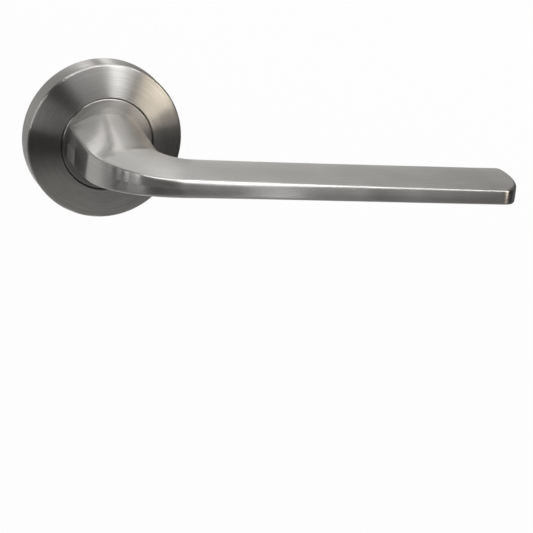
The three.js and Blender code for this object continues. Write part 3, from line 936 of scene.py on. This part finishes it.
@dataclass
class Lever:
    """The cast lever with its shank, collar disc and spindle, which turn together."""

    paint: Paintbox
    form: LeverForm = field(default_factory=LeverForm)
    shank_radius: float = 9.0 * MM
    shank_flat: float = 8.4 * MM
    groove_radius: float = 8.2 * MM
    socket_half: float = 4.3 * MM
    grub_out: float = 18.0 * MM
    grub_radius: float = 2.5 * MM
    neck_ends: tuple[float, float] = (1.25, 0.4)  # where brushing around ends, off the flat side and on it
    zone_fade: float = 0.12  # length of that change

    def build(self) -> None:
        """Builds every piece of the lever."""
        self.blade()
        self.shank()
        self.collar()
        self.spindle()
        self.grub_screw()

    def _sections(self) -> list[Station]:
        """Stations along the lever, from the foot to the tip."""
        form = self.form
        spots = []
        for leg, count in enumerate(form.steps[:3]):
            spots += [leg + k / count for k in range(0 if leg == 0 else 1, count + 1)]
        rows = []
        run = 0.0
        marks = {}
        before = None
        for s in spots:
            outer, inner = form.plan(s)
            here = (outer + inner) / 2
            run += (here - before).length if before is not None else 0.0
            before = here
            rows.append((outer, inner, s, run))
            if abs(s - round(s)) < 1e-9:
                marks[round(s)] = run
        stations = [marks[i] for i in range(4)]
        result = []
        for outer, inner, s, along in rows:
            face = eased(form.face_half, stations, along)
            crown = eased(form.crown_half, stations, along)
            soft = eased(form.edge_round, form.edge_places, s)
            share = min(max(s - 1, 0.0), 1.0)
            full = form.fullness[0] + (form.fullness[1] - form.fullness[0]) * share
            outline = form.section((outer - inner).length, face, crown, soft, full)
            result.append(Station(outer, inner, face, soft, outline, along, s))
        count = form.steps[3]
        last_run = result[-1].run
        for k in range(1, count + 1):
            reach = form.tip_x - 0.02 * MM - form.tip_start()
            x = form.tip_start() + reach * math.sin(k / count * math.pi / 2)
            along = last_run + x - form.tip_start()
            ends = (Vector((x, form.grip_front)), Vector((x, form.rear_edge(x))))
            result.append(Station(*ends, form.face_half[-1], 1.0 * MM, form.tip_section(x), along, 3.0))
        return result

    def blade(self) -> None:
        """Lofts the neck, bend and grip in one skin and drills the grub screw's hole."""
        work = bmesh.new()
        run_layer = work.verts.layers.float.new("run")
        girth_layer = work.verts.layers.float.new("girth")
        zone_layer = work.verts.layers.float.new("zone")
        rings = []
        base: tuple[Profile, list[float]] | None = None
        for spot in self._sections():
            start = Vector((spot.outer.x, -spot.outer.y, 0.0))
            across = (Vector((spot.inner.x, -spot.inner.y, 0.0)) - start).normalized()
            ring = []
            girths = self._tip_girths(spot, *base) if base else self._girths(spot.outline)
            if spot.place >= 3 and not base:
                base = (spot.outline, girths)
            for (u, up), girth in zip(spot.outline, girths):
                vert = work.verts.new(start + across * u + Vector((0.0, 0.0, up)))
                vert[run_layer] = spot.run
                vert[girth_layer] = girth
                ring.append(vert)
                off_flat = up > spot.face * 0.9 or u > spot.soft * 1.5
                neck_end = self.neck_ends[0] if off_flat else self.neck_ends[1]
                vert[zone_layer] = min(max((neck_end - spot.place) / self.zone_fade + 0.5, 0.0), 1.0)
            rings.append(ring)
        skin(work, rings)
        self._unroll(work, run_layer, girth_layer, zone_layer)
        blade = finish_mesh("lever_blade", work, BLADE_SHARP)
        drill = revolve("grub_hole", band(0, 2.8 * MM, -12 * MM, 4 * MM), 48)
        self._stand_under_neck(drill, -9 * MM)
        combine(blade, [drill], "DIFFERENCE")
        blade.data.set_sharp_from_angle(angle=math.radians(BLADE_SHARP))
        place(blade, Body.LEVER, self.paint, "lever_satin", "lever_handle")

    def _stand_under_neck(self, piece: bpy.types.Object, height: float) -> None:
        """Turns a piece that was made along the spindle upright, and puts it at the grub screw's place."""
        piece.data.transform(Matrix.Rotation(math.pi / 2, 4, "X"))
        piece.data.transform(Matrix.Translation((0, -self.grub_out, height)))

    @staticmethod
    def _girths(outline: Profile) -> list[float]:
        """Distance along an outline to each of its points."""
        girths = [0.0]
        for before, after in zip(outline, outline[1:]):
            girths.append(girths[-1] + math.dist(before, after))
        return girths

    @staticmethod
    def _tip_girths(spot: Station, outline: Profile, girths: list[float]) -> list[float]:
        """Distances for a section of the rounded end, read from the last full section.

        The grain then runs straight to the end, though the sections get narrower.

        Args:
            spot: The section.
            outline: Outline of the last full section.
            girths: Distances along that outline.

        Returns:
            The distance for each point.
        """
        far = len(outline) // 2
        past_edge = 1.5 * MM
        edge = next(i for i, (across, _) in enumerate(outline) if across > past_edge)
        result = []
        for i, (across, _) in enumerate(spot.outline):
            top = i if i <= far else len(outline) - i
            girth = girths[top]
            if top >= edge:
                k = edge
                while k < far and outline[k][0] < across:
                    k += 1
                low, high = outline[k - 1][0], outline[k][0]
                share = min(max((across - low) / max(high - low, 1e-9), 0.0), 1.0)
                girth = girths[k - 1] + (girths[k] - girths[k - 1]) * share
            result.append(girth if i <= far else 2 * girths[far] - girth)
        return result

    @staticmethod
    def _unroll(
        work: bmesh.types.BMesh, run_layer: object, girth_layer: object, zone_layer: object
    ) -> None:
        """Writes the map of run and girth that the grain follows, in metres, and the neck's zone."""
        chart = work.loops.layers.uv.new("brush_way")
        zones = work.loops.layers.uv.new("neck_zone")
        jump, first_part = 15 * MM, 7 * MM  # a face that closes the loop spans more than jump
        for face in work.faces:
            girths = [loop.vert[girth_layer] for loop in face.loops]
            wraps = max(girths) - min(girths) > jump
            for loop in face.loops:
                girth = loop.vert[girth_layer]
                if wraps and girth < first_part:
                    girth = max(girths)
                loop[chart].uv = (loop.vert[run_layer], girth)
                loop[zones].uv = (loop.vert[zone_layer], 0.5)

    def shank(self) -> None:
        """Round shank behind the collar, with two drive flats, the clip's groove and the square socket."""
        r, g = self.shank_radius, self.groove_radius
        outline = [(0, 0.3), (r / MM, 0.3), (r / MM, 0.35), (g / MM, 0.35), (g / MM, 1.35), (r / MM, 1.35)]
        outline += [(r / MM, 12.6), (0, 12.6)]
        shank = revolve("lever_shank", rounded([(a * MM, b * MM) for a, b in outline], 0.2 * MM, 2), 96)
        cutters = []
        for side in (1, -1):
            low, high = sorted((self.shank_flat * side, 12 * MM * side))
            cutters.append(prism(f"flat_{side}", band(-12 * MM, 12 * MM, low, high), -PAST, 9.5 * MM))
        cutters.append(prism("socket", square(self.socket_half), -PAST, 12.3 * MM))
        combine(shank, cutters, "DIFFERENCE")
        place(shank, Body.LEVER, self.paint, "drive_steel", "lever_handle")

    def collar(self) -> None:
        """Disc that fills the rose's bore, with a fine chamfer at its edge."""
        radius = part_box("collar_disc")[1][0]
        back, front = depths("collar_disc")
        edge = 0.28 * MM
        profile = [(SHANK_BORE, back), (radius - edge, back), (radius, back + edge)]
        profile += [(radius, front - edge), (radius - edge, front), (SHANK_BORE, front)]
        disc = revolve("collar_disc_fine", rounded(profile, 0.08 * MM, 2), 192)
        place(disc, Body.LEVER, self.paint, "rose_turned", "collar_disc")

    def spindle(self) -> None:
        """Square bar with bevelled edges and ends."""
        bar = prism("spindle_bar", square(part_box("spindle")[1][0]), *depths("spindle"))
        place(bevelled(bar, 0.55 * MM, 3), Body.LEVER, self.paint, "drive_steel", "spindle")

    def grub_screw(self) -> None:
        """Short threaded screw with a hexagon socket, under the neck."""
        low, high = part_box("grub_screw")
        length = high[2] - low[2]
        pitch = 0.8 * MM
        rows = int(length / (pitch / 6))
        profile = [(0.0, 0.0)]
        profile += [(self.grub_radius - 0.22 * MM, length * k / rows) for k in range(rows + 1)]
        profile.append((0.0, length))
        screw = revolve("grub_screw_fine", profile, 36, swell=thread(pitch, 0.2 * MM))
        corners = [polar(1.45 * MM, 60 * k) for k in range(6)]
        combine(screw, [prism("hexagon", corners, length - 2.2 * MM, length + PAST)], "DIFFERENCE")
        self._stand_under_neck(screw, high[2])
        place(screw, Body.LEVER, self.paint, "black_steel", "grub_screw")


def thread(pitch: float, depth: float, start: float = -1.0, end: float = 1.0) -> Swell:
    """Helical thread of a pitch and depth between two distances out.

    Args:
        pitch: Distance between turns.
        depth: Height of the thread.
        start: Lowest distance out with thread.
        end: Highest distance out with thread.

    Returns:
        The function that revolve takes as swell.
    """

    def ridge(angle: float, out: float) -> float:
        """Height of the thread at an angle and a distance out."""
        if not start <= out <= end:
            return 0.0
        phase = (out / pitch - angle / (2 * math.pi)) % 1.0
        return depth * (1 - abs(2 * phase - 1)) ** 1.2

    return ridge


# ------------------------------------------------------------------ rose cover
@dataclass
class RoseCover:
    """Pressed round cover with a shallow cone face."""

    paint: Paintbox
    bore: float = 15.55 * MM
    wall: float = 1.0 * MM
    rim_out: float = 8.9 * MM
    edge: float = 0.5 * MM

    def build(self) -> None:
        """Builds the cover from its profile."""
        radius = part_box("rose_cover")[1][0]
        back, front = depths("rose_cover")
        lip = 0.22 * MM
        inside = radius - self.wall
        shell = self.wall * 1.2
        profile = [
            (inside + 0.2 * MM, back),
            (radius - 0.15 * MM, back),
            (radius, back + 0.15 * MM),
            (radius, self.rim_out - self.edge),
            (radius - self.edge, self.rim_out),
            (self.bore + lip, front),
            (self.bore, front - lip),
            (self.bore, front - shell),
            (inside - 0.8 * MM, self.rim_out - shell),
            (inside, self.rim_out - shell - 0.8 * MM),
            (inside, back + 1.9 * MM),
            (inside + 0.2 * MM, back + 1.6 * MM),
        ]
        cover = revolve("rose_cover_shell", rounded(profile, 0.1 * MM, 3), 256)
        place(cover, Body.COVER, self.paint, "rose_turned", "rose_cover")


# ------------------------------------------------------------------ mounting plate and cassette
@dataclass
class MountingPlate:
    """Die-cast plate with its sleeves, screws and cover clips."""

    paint: Paintbox
    thick: float = 3.2 * MM
    bore: float = 10.6 * MM
    recess_radius: float = 15.0 * MM
    recess: float = 2.2 * MM
    radius: float = 24.4 * MM
    fix_x: float = 19.0 * MM
    clip_angles: tuple[int, ...] = (45, 135, 270)

    def build(self) -> None:
        """Builds the plate and all that is fixed to it."""
        self.plate()
        for i, side in enumerate((-1, 1), 1):
            self.sleeve(i, side)
            self.fixing_screw(i, side)
        for i, angle in enumerate(self.clip_angles, 1):
            self.cover_clip(i, angle)

    def plate(self) -> None:
        """Plate with its recess, countersunk holes and small holes."""
        t = self.thick
        edge = 0.5 * MM
        profile = [(self.bore, self.recess), (self.recess_radius, self.recess), (self.recess_radius, 0.0)]
        profile += [(self.radius, 0.0), (self.radius, t - edge), (self.radius - edge, t), (self.bore, t)]
        plate = revolve("mounting_plate_fine", rounded(profile, 0.18 * MM, 3), 128)
        cutters = []
        for side in (-1, 1):
            sink = [(0, -1), (2.3, -1), (2.3, 0.9), (3.9, 2.4), (3.9, 5), (0, 5)]
            profile = [(a * MM, b * MM) for a, b in sink]
            centre = (side * self.fix_x, 0)
            cutters.append(revolve(f"sink_{side}", profile, 48, centre))
            cutters.append(revolve(f"seat_{side}", band(0, 4.3 * MM, -PAST, PAST), 48, centre))
        for angle in EAR_ANGLES:
            hole = band(0, 1.5 * MM, -PAST, 5 * MM)
            cutters.append(revolve(f"hole_{angle}", hole, 32, polar(EAR_REACH, angle)))
        for node in STOP_PINS:
            cutters.append(revolve(f"hole_{node}", band(0, 1.2 * MM, -PAST, 5 * MM), 32, middle(node)))
        combine(plate, cutters, "DIFFERENCE")
        place(plate, Body.ROSE, self.paint, "zinc_casting", "mounting_plate")

    def sleeve(self, i: int, side: int) -> None:
        """Steel sleeve that seats in the door's fixing hole."""
        node = f"locating_sleeve_{i}"
        low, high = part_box(node)
        profile = band(2.6 * MM, (high[0] - low[0]) / 2, *depths(node))
        tube = revolve(f"{node}_fine", rounded(profile, 0.3 * MM, 3), 64, (side * self.fix_x, 0))
        place(tube, Body.ROSE, self.paint, "drive_steel", node)

    def fixing_screw(self, i: int, side: int) -> None:
        """Countersunk wood screw with a helical thread and a cross recess."""
        node = f"fixing_screw_{i}"
        tip, top = depths(node)
        pitch = 1.8 * MM
        core = 1.45 * MM
        profile = [(0.0, tip)]
        rows = int((-2 * MM - tip) / (pitch / 8))
        for k in range(1, rows + 1):
            out = tip + (-2 * MM - tip) * k / rows
            taper = min((out - tip) / (4 * MM), 1.0)
            profile.append((core * max(taper, 0.08), out))
        profile += [(1.95 * MM, -1.6 * MM), (1.95 * MM, 1.1 * MM), (3.6 * MM, top - 0.35 * MM)]
        profile += [(3.6 * MM, top - 0.1 * MM), (3.45 * MM, top), (0.0, top)]
        spiral = thread(pitch, 0.5 * MM, tip + 0.8 * MM, -2 * MM)
        screw = revolve(f"{node}_fine", profile, 48, (side * self.fix_x, 0), spiral)
        combine(screw, cross_recess((side * self.fix_x, 0), top, 2.1 * MM, 0.5 * MM, 1.5 * MM), "DIFFERENCE")
        place(screw, Body.ROSE, self.paint, "plated_screw", node)

    def cover_clip(self, i: int, angle: float) -> None:
        """Bent spring strip whose bump presses on the cover's wall."""
        node = f"cover_clip_{i}"
        foot = self.thick + 0.3 * MM
        front = [(20.4, 0.4), (22.9, 0.4), (23.3, 0.8), (24.2, 1.7), (23.35, 2.9), (23.0, 3.6)]
        back = [(23.4, 3.7), (23.75, 3.0), (24.62, 1.7), (23.7, 0.4), (23.3, 0.0), (20.4, 0.0)]
        work = bmesh.new()
        half = 2.5 * MM
        sides = []
        for across in (-half, half):
            edge = [(reach * MM, -(foot + up * MM), across) for reach, up in front + back]
            sides.append([work.verts.new(point) for point in edge])
        skin(work, sides)
        clip = finish_mesh(f"{node}_fine", work)
        clip.data.transform(Matrix.Rotation(-math.radians(angle), 4, "Y"))
        place(bevelled(clip, 0.08 * MM, 2), Body.ROSE, self.paint, "spring_steel", node)


def cross_recess(centre: Spot, top: float, arm: float, half: float, depth: float) -> list[bpy.types.Object]:
    """Two tapered bars that cut a screwdriver's cross.

    Args:
        centre: x and z of the screw.
        top: Out of the screw's head.
        arm: Half length of the cross.
        half: Half width of its arms.
        depth: How deep it goes.

    Returns:
        The cutters.
    """
    cutters = []
    for turn in (45, 135):
        work = bmesh.new()
        levels = []
        for out, scale in ((top - depth, 0.45), (top + 0.5 * MM, 1.12)):
            corners = band(-arm * scale, arm * scale, -half, half)
            levels.append([work.verts.new((x, -out, z)) for x, z in corners])
        skin(work, levels)
        bar = finish_mesh(f"cross_{turn}", work)
        bar.data.transform(Matrix.Rotation(math.radians(turn), 4, "Y"))
        bar.data.transform(Matrix.Translation((centre[0], 0, centre[1])))
        cutters.append(bar)
    return cutters


@dataclass
class SpringCassette:
    """The spring with its housing, cam, bearing and retaining parts."""

    paint: Paintbox
    housing_inner: float = 13.5 * MM
    housing_outer: float = 14.6 * MM
    cam_angle: float = 215.0
    coil: float = 11.55 * MM
    wire: float = 0.45 * MM
    pitch: float = 1.1 * MM
    turns: float = 2.0

    def build(self) -> None:
        """Builds every piece of the cassette."""
        self.housing()
        self.cap()
        self.bush()
        self.washer()
        self.circlip()
        self.spring()
        for i, angle in enumerate(EAR_ANGLES, 1):
            self.cassette_screw(i, angle)
        for node in STOP_PINS:
            self.stop_pin(node)
        self.paint.dress_node("spring_cam", "drive_steel")

    def housing(self) -> None:
        """Cassette wall with three ears and the notch for the spring's fixed tail."""
        back, top = depths("spring_housing")
        wall = band(self.housing_inner, self.housing_outer, back, top)
        housing = revolve("spring_housing_fine", rounded(wall, 0.2 * MM, 3), 128)
        ears, cutters = [], []
        for angle in EAR_ANGLES:
            centre = polar(EAR_REACH, angle)
            ears.append(revolve(f"ear_{angle}", band(0, 3 * MM, back, back + 1 * MM), 64, centre))
            cutters.append(revolve(f"ear_hole_{angle}", band(0, 1.5 * MM, back - PAST, top), 32, centre))
        clear = band(0, self.housing_inner, back - PAST, back + 3 * MM)
        cutters.append(revolve("inner_clear", clear, 128))
        a, b = polar(12 * MM, self.cam_angle + 10), polar(12 * MM, self.cam_angle + 24)
        c, d = polar(16 * MM, self.cam_angle + 24), polar(16 * MM, self.cam_angle + 10)
        cutters.append(prism("notch", [a, d, c, b], top - 2.2 * MM, top + PAST))
        combine(housing, ears, "UNION")
        combine(housing, cutters, "DIFFERENCE")
        place(housing, Body.ROSE, self.paint, "zinc_casting", "spring_housing")

    def cap(self) -> None:
        """Flat ring that closes the cassette."""
        profile = band(SHANK_BORE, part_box("housing_cap")[1][0], *depths("housing_cap"))
        cap = revolve("housing_cap_fine", rounded(profile, 0.15 * MM, 3), 128)
        place(cap, Body.ROSE, self.paint, "drive_steel", "housing_cap")

    def bush(self) -> None:
        """Flanged nylon bush."""
        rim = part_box("bearing_bush")[1][0]
        back, front = depths("bearing_bush")
        profile = [(SHANK_BORE, back), (10.3 * MM, back), (10.3 * MM, front - 0.6 * MM)]
        profile += [(rim, front - 0.6 * MM), (rim, front), (SHANK_BORE, front)]
        bush = revolve("bearing_bush_fine", rounded(profile, 0.12 * MM, 3), 96)
        place(bush, Body.ROSE, self.paint, "nylon", "bearing_bush")

    def washer(self) -> None:
        """Thin spring washer with three shallow waves."""
        level = sum(depths("wave_washer")) / 2
        half = 0.1 * MM
        profile = band(SHANK_BORE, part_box("wave_washer")[1][0], level - half, level + half)
        washer = revolve("wave_washer_fine", rounded(profile, 0.05 * MM, 2), 120)
        for vert in washer.data.vertices:
            angle = math.atan2(vert.co.z, vert.co.x)
            vert.co.y += 0.09 * MM * math.sin(3 * angle)
        place(washer, Body.LEVER, self.paint, "spring_steel", "wave_washer")

    def circlip(self) -> None:
        """Open retaining ring with two eyes."""
        back, front = depths("circlip")
        ring = rounded(band(8.5 * MM, 10.2 * MM, back, front), 0.1 * MM, 2)
        clip = revolve("circlip_fine", ring, 128)
        eyes, cutters = [], []
        for angle in (62, 118):
            eyes.append(revolve(f"eye_{angle}", band(0, 1.3 * MM, back, front), 40, polar(10.4 * MM, angle)))
            hole = band(0, 0.6 * MM, back - PAST, front + PAST)
            cutters.append(revolve(f"eye_hole_{angle}", hole, 24, polar(10.5 * MM, angle)))
        gap = [polar(5 * MM, 70), polar(14 * MM, 70), (0.0, 16 * MM)]
        gap += [polar(14 * MM, 110), polar(5 * MM, 110)]
        cutters.append(prism("clip_gap", gap, back - PAST, front + PAST))
        combine(clip, eyes, "UNION")
        combine(clip, cutters, "DIFFERENCE")
        place(clip, Body.LEVER, self.paint, "spring_steel", "circlip")

    def spring(self) -> None:
        """Torsion spring: one tail in the housing's notch, the other on the cam's finger.

        The coil winds as the lever turns; the piece is attached to neither body.
        """
        back = 6.2 * MM
        start = self.cam_angle + 13
        height = self.pitch * self.turns
        path = []
        tail_steps, coil_steps = 10, 150
        for k in range(tail_steps):
            lift = 1 - k / tail_steps
            x, z = polar(min(self.coil + 1.9 * MM * lift**1.6, 12.6 * MM), start - 5 * lift)
            path.append(Vector((x, -back, z)))
        for k in range(coil_steps + 1):
            share = k / coil_steps
            x, z = polar(self.coil, start + 360 * self.turns * share)
            path.append(Vector((x, -(back + height * share), z)))
        for k in range(1, tail_steps + 1):
            lift = k / tail_steps
            x, z = polar(self.coil + 1.9 * MM * lift**1.6, start + 360 * self.turns + 5 * lift)
            path.append(Vector((x, -(back + height), z)))
        spring = sweep("return_spring_fine", path, self.wire)
        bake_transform(spring)
        self.paint.dress(spring, "spring_steel")
        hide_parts("return_spring")
        LOG.info("%s: %d faces", spring.name, len(spring.data.polygons))

    def cassette_screw(self, i: int, angle: float) -> None:
        """Small pan-head screw with a machine thread and a cross recess."""
        node = f"cassette_screw_{i}"
        tip, top = depths(node)
        seat = 4.8 * MM
        pitch = 0.45 * MM
        rows = int((seat - 0.3 * MM - tip) / (pitch / 6))
        head = 2.2 * MM
        profile = [(0.0, tip), (0.85 * MM, tip)]
        for k in range(1, rows + 1):
            profile.append((1.0 * MM, tip + 0.1 * MM + (seat - 0.3 * MM - tip) * k / rows))
        profile += [(1.15 * MM, seat), (2.1 * MM, seat), (head, seat + 0.12 * MM), (head, seat + 0.6 * MM)]
        for k in range(1, 6):
            a = k / 6 * math.pi / 2
            profile.append((head * math.cos(a) ** 0.6, seat + 0.6 * MM + 0.85 * MM * math.sin(a)))
        profile.append((0.0, top))
        spiral = thread(pitch, 0.18 * MM, tip + 0.2 * MM, seat - 0.3 * MM)
        centre = polar(EAR_REACH, angle)
        screw = revolve(f"{node}_fine", profile, 36, centre, spiral)
        combine(screw, cross_recess(centre, top, 1.2 * MM, 0.28 * MM, 0.9 * MM), "DIFFERENCE")
        place(screw, Body.ROSE, self.paint, "plated_screw", node)

    def stop_pin(self, node: str) -> None:
        """Hardened pin with chamfered ends."""
        profile = rounded(band(0, 0.9 * MM, *depths(node)), 0.25 * MM, 2)
        pin = revolve(f"{node}_fine", profile, 32, middle(node))
        place(pin, Body.ROSE, self.paint, "drive_steel", node)


# ------------------------------------------------------------------ studio
@dataclass(frozen=True)
class Panel:
    """One rectangular soft light that faces the handle.

    Attributes:
        name: Name of the lamp.
        left: Angle from straight ahead of the door towards the left, in degrees.
        height: Angle above the horizon, in degrees.
        width: Angle that it fills from side to side, in degrees.
        tall: Angle that it fills from top to bottom, in degrees.
        glow: Radiance.
        colour: Colour of its light.
        reach: Distance from the handle.
        aim: Point that it faces.
    """

    name: str
    left: float
    height: float
    width: float
    tall: float
    glow: float
    colour: tuple[float, float, float] = (1.0, 1.0, 1.0)
    reach: float = 1.2
    aim: tuple[float, float, float] = (0.03, -0.03, 0.0)

    def build(self) -> None:
        """Adds the lamp."""
        a, h = math.radians(self.left), math.radians(self.height)
        towards = Vector((-math.sin(a) * math.cos(h), -math.cos(a) * math.cos(h), math.sin(h)))
        lamp = bpy.data.lights.new(self.name, "AREA")
        lamp.shape = "RECTANGLE"
        lamp.size = 2 * self.reach * math.tan(math.radians(self.width / 2))
        lamp.size_y = 2 * self.reach * math.tan(math.radians(self.tall / 2))
        lamp.energy = self.glow * math.pi * lamp.size * lamp.size_y
        lamp.color = self.colour
        obj = bpy.data.objects.new(self.name, lamp)
        obj.location = Vector(self.aim) + towards * self.reach
        obj.rotation_euler = (-towards).to_track_quat("-Z", "Y").to_euler()
        obj.visible_camera = False
        bpy.context.scene.collection.objects.link(obj)


PANELS = (
    Panel("overhead", -8, 58, 70, 20, 4.2),
    Panel("top_front", -21, 34, 10, 40, 2.5),
    Panel("right_warm", -49, 18, 11, 32, 6.0, (1.0, 0.9, 0.76)),
    Panel("low_front", -19, -30, 7, 30, 1.3, reach=0.1, aim=(0.046, -0.063, 0.0)),
    Panel("left_1", 50, 10, 4, 30, 3.2),
    Panel("left_2", 57, 10, 3, 30, 2.0),
    Panel("left_3", 66, 10, 5, 30, 2.6),
    Panel("left_4", 79, 10, 4, 30, 1.8),
    Panel("left_5", 95, 10, 4, 30, 0.8),
)


@dataclass
class Studio:
    """Pale floor, soft lights and the camera."""

    azimuth: float = -18.8
    elevation: float = 16.68
    roll: float = 6.69
    distance: float = 1.0
    view_width: float = 0.1765
    aim_right: float = 0.0556
    aim_down: float = 0.04385
    floor_drop: float = 0.30
    floor_half: float = 6.0
    stripes: tuple[Spot, ...] = (
        *((0.0, 0.5), (0.08, 0.5), (0.15, 0.36), (0.24, 0.34), (0.29, 0.1), (0.4, 0.06)),
        *((0.45, 1.9), (0.54, 1.8), (0.58, 0.06), (0.66, 0.06), (0.7, 1.5), (0.75, 1.3)),
        *((0.8, 0.46), (0.86, 0.4), (0.92, 0.1), (1.0, 0.1)),
    )

    def build(self) -> None:
        """Builds floor, world, lights and camera."""
        self.floor()
        self.world()
        for panel in PANELS:
            panel.build()
        self.camera()

    def floor(self) -> None:
        """Large pale floor below the handle, which only the camera sees."""
        work = bmesh.new()
        work.faces.new([work.verts.new((x, y, -self.floor_drop)) for x, y in square(self.floor_half)])
        floor = finish_mesh("studio_floor", work)
        material = bpy.data.materials.new("studio_floor")
        material.use_nodes = True
        material.node_tree.nodes.clear()
        sheet = NodeSheet(material.node_tree)
        noise = sheet.add("TexNoise", {"Scale": 3.0})
        pale = sheet.ramp(noise.outputs["Fac"], 0.3, 0.7, 0.985, 0.995)
        glow = sheet.add("Emission", {"Color": (1, 1, 1, 1), "Strength": pale})
        sheet.add("OutputMaterial", {"Surface": glow.outputs[0]})
        floor.data.materials.append(material)
        floor.visible_diffuse = False
        floor.visible_glossy = False
        floor.visible_shadow = False

    def world(self) -> None:
        """Pale backdrop and ceiling, a dim floor, and darkness behind the camera."""
        world = bpy.data.worlds.new("studio")
        bpy.context.scene.world = world
        world.use_nodes = True
        world.node_tree.nodes.clear()
        sheet = NodeSheet(world.node_tree)
        rays = sheet.add("LightPath").outputs
        way = sheet.add("SeparateXYZ", {0: sheet.add("TexCoord").outputs["Generated"]}).outputs
        behind = sheet.ramp(way["Y"], -0.1, 0.5, 0.0, 1.0)
        stripes = sheet.add("ValToRGB", {"Fac": sheet.ramp(way["X"], -0.5, 0.5, 0.0, 1.0)})
        self.fill_ramp(stripes.color_ramp)
        behind = sheet.math("MULTIPLY", behind, stripes.outputs["Color"])
        above = sheet.ramp(way["Z"], 0.6, 0.95, 0.0, 0.25)
        below = sheet.ramp(way["Z"], -0.75, -0.4, 0.3, 0.0)
        level = sheet.math("MAXIMUM", behind, sheet.math("MAXIMUM", above, below))
        level = sheet.math("ADD", level, 0.035)
        around = sheet.add("Background", {"Color": (1, 0.99, 0.975, 1), "Strength": level})
        white = sheet.add("Background", {"Color": (1, 1, 1, 1), "Strength": 0.99})
        mixed = sheet.add("MixShader", {0: rays["Is Camera Ray"], 1: around.outputs[0], 2: white.outputs[0]})
        sheet.add("OutputWorld", {"Surface": mixed.outputs[0]})

    def fill_ramp(self, ramp: bpy.types.ColorRamp) -> None:
        """Sets the backdrop's upright light and dark stripes, from left to right."""
        for i, (spot, level) in enumerate(self.stripes):
            stop = ramp.elements[i] if i < 2 else ramp.elements.new(spot)
            stop.position = spot
            stop.color = (level, level, level, 1)

    def camera(self) -> None:
        """Long lens from the left and above, rolled a little."""
        a, e, r = (math.radians(v) for v in (self.azimuth, self.elevation, self.roll))
        towards = Vector((math.sin(a) * math.cos(e), -math.cos(a) * math.cos(e), math.sin(e)))
        level = Vector((math.cos(a), math.sin(a), 0.0))
        upright = towards.cross(level)
        right = level * math.cos(r) + upright * math.sin(r)
        up = upright * math.cos(r) - level * math.sin(r)
        lens = bpy.data.cameras.new("camera")
        lens.sensor_width = 36.0
        lens.lens = lens.sensor_width * self.distance / self.view_width
        lens.clip_start = 0.02
        camera = bpy.data.objects.new("camera", lens)
        spot = right * self.aim_right - up * self.aim_down + towards * self.distance
        turn = Matrix((right, up, towards)).transposed()
        camera.matrix_world = Matrix.Translation(spot) @ turn.to_4x4()
        bpy.context.scene.collection.objects.link(camera)
        bpy.context.scene.camera = camera
        bpy.context.scene.view_settings.view_transform = "Standard"


def main() -> None:
    """Builds the handle and its studio."""
    logging.basicConfig(level=logging.INFO, format="%(name)s %(message)s")
    paint = Paintbox()
    Lever(paint).build()
    RoseCover(paint).build()
    MountingPlate(paint).build()
    SpringCassette(paint).build()
    Studio().build()


if __name__ == "__main__":
    main()
